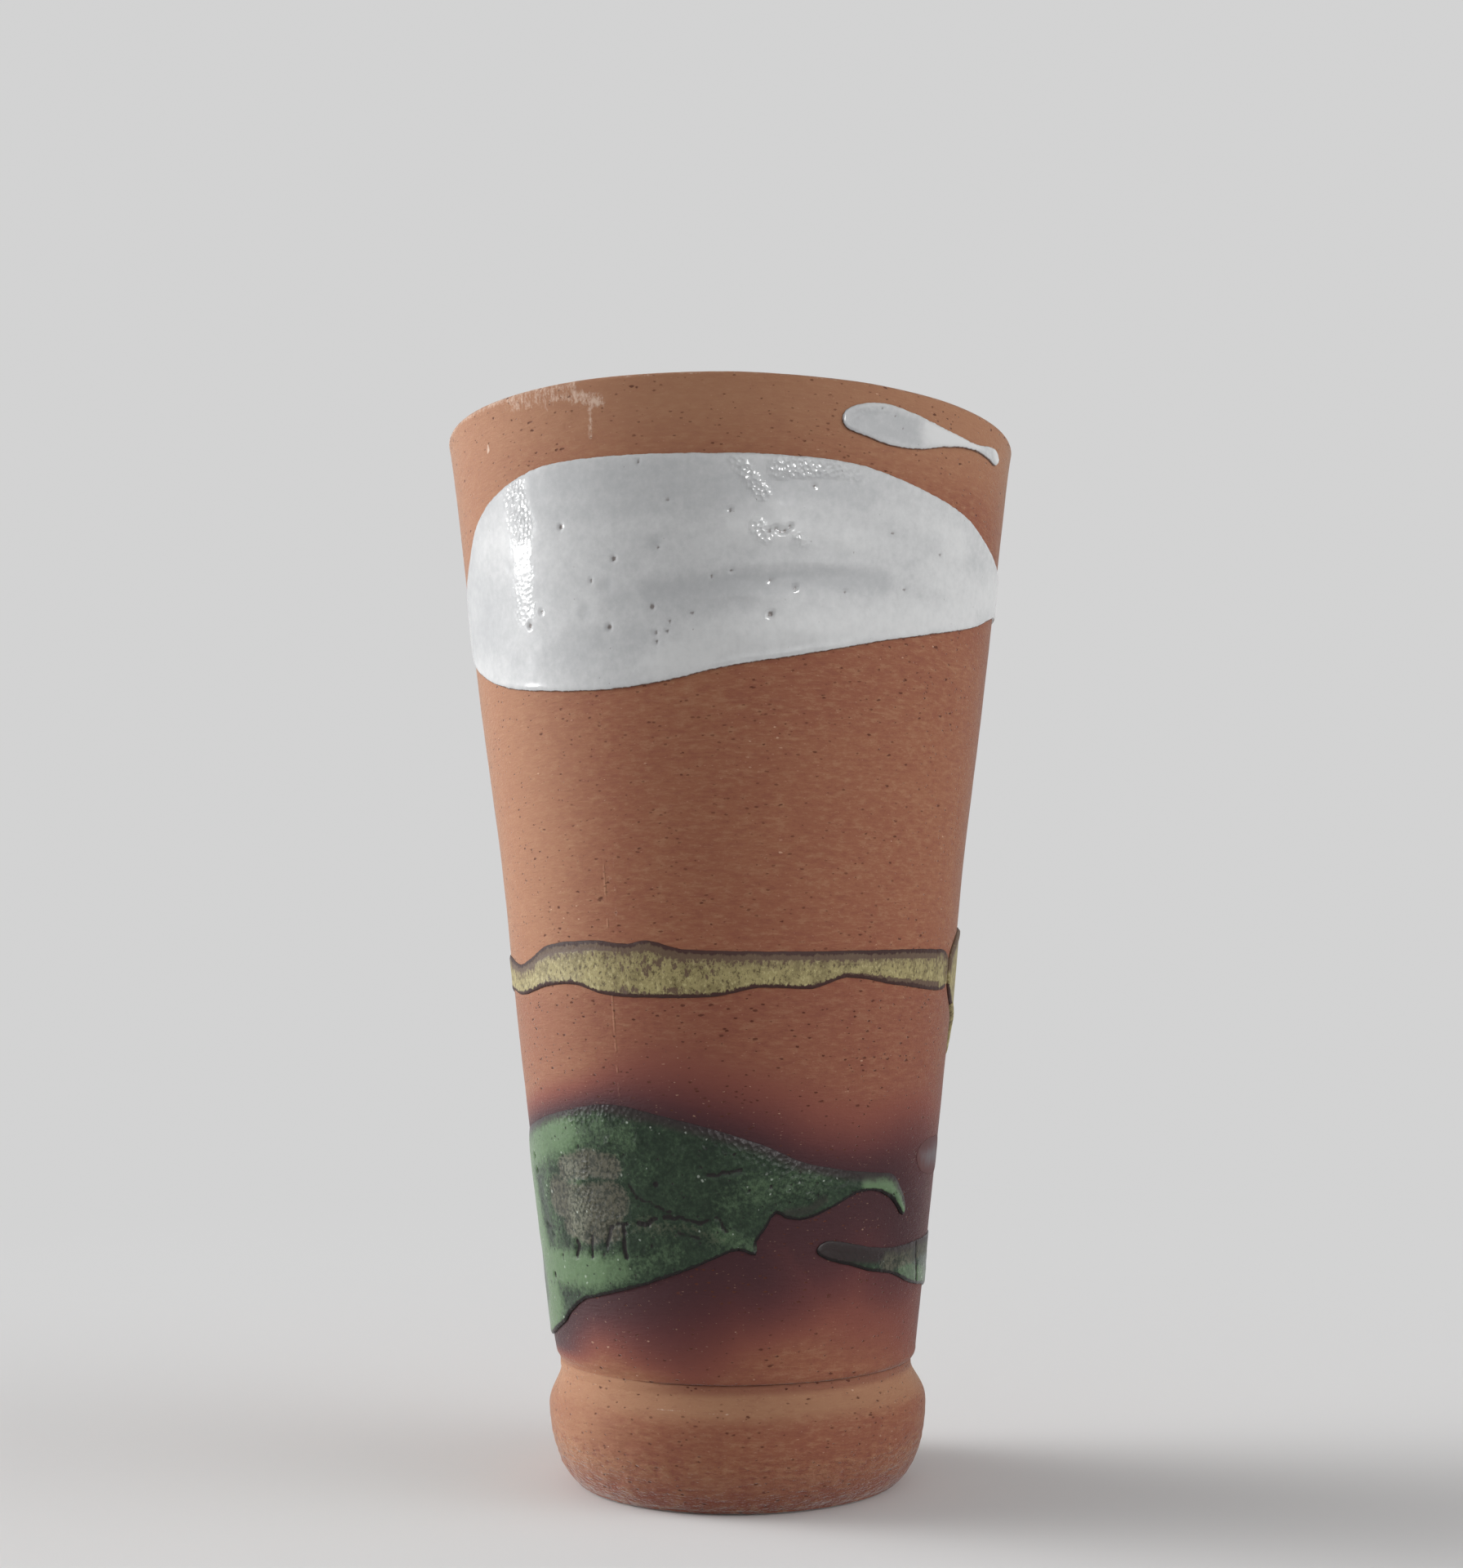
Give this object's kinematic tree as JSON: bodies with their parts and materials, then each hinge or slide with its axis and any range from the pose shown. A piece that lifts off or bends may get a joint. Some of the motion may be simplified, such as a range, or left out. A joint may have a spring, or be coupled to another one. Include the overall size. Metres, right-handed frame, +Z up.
{
  "type": "pottery vase",
  "caption": "Tall tapered pottery vase on a rolled foot, open at the top to hold water and cut flowers; bare fired clay with poured patches of glaze.",
  "frame": {"origin": "middle of the flat base, on the surface that the vase stands on", "axes": "+Z up along the vase's own axis; -Y faces the side that the picture shows, +X is to its right"},
  "size_m": [0.1124, 0.1124, 0.2012],
  "materials": {
    "fired_clay": "bare, matte, fine turning lines and grog",
    "clear_lining_glaze": "clear gloss over brown clay",
    "white_glaze": "milky gloss with pinholes",
    "ochre_glaze": "speckled satin",
    "green_glaze": "mottled gloss with dry brown patches",
    "blue_grey_glaze": "satin"
  },
  "bodies": {
    "root": {"floor_slab": "fired_clay", "foot_band": "fired_clay", "body_wall": "fired_clay", "inner_glaze_lining": "clear_lining_glaze", "white_glaze_pour": "white_glaze", "white_glaze_drip": "white_glaze", "ochre_glaze_band": "ochre_glaze", "ochre_glaze_splash": "ochre_glaze", "green_glaze_pool": "green_glaze", "green_glaze_streak": "green_glaze", "blue_grey_glaze_spot": "blue_grey_glaze"}
  },
  "joints": []
}
